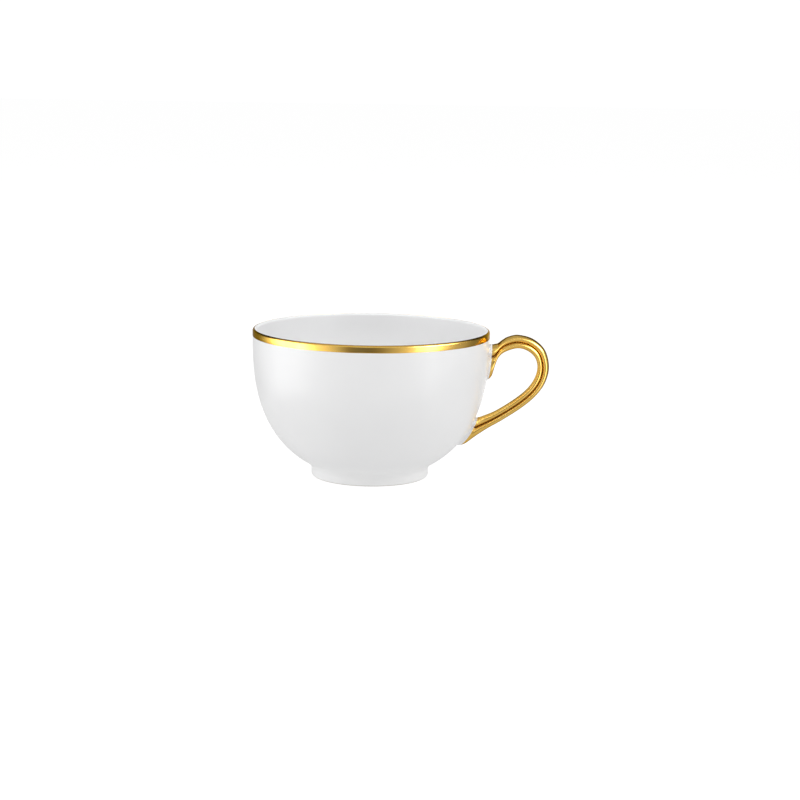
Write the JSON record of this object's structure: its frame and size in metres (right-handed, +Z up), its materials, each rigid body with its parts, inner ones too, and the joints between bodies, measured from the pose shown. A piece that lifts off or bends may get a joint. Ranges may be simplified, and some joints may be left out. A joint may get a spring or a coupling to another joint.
{
  "type": "teacup",
  "caption": "Round porcelain teacup with a low foot ring, a gilded lip and a gilded two-ribbed loop handle joined to the wall with slip.",
  "frame": {"origin": "on the cup's axis, in the plane of the foot ring's bearing face, so the cup stands on z = 0", "axes": "+Z up along the bowl's axis, +X from the axis towards the handle's loop, Y across the handle"},
  "size_m": [0.1203, 0.096, 0.0604],
  "materials": {
    "porcelain": "clear gloss glaze over white porcelain",
    "bisque": "glazed wall, bare ground bearing edge",
    "slip": "glazed clay slip",
    "gold": "burnished gold"
  },
  "bodies": {
    "root": {"bowl": "porcelain", "foot_ring": "bisque", "handle": "porcelain", "handle_gilding": "gold", "rim_gilding": "gold", "upper_slip_joint": "slip", "lower_slip_joint": "slip"}
  },
  "joints": []
}
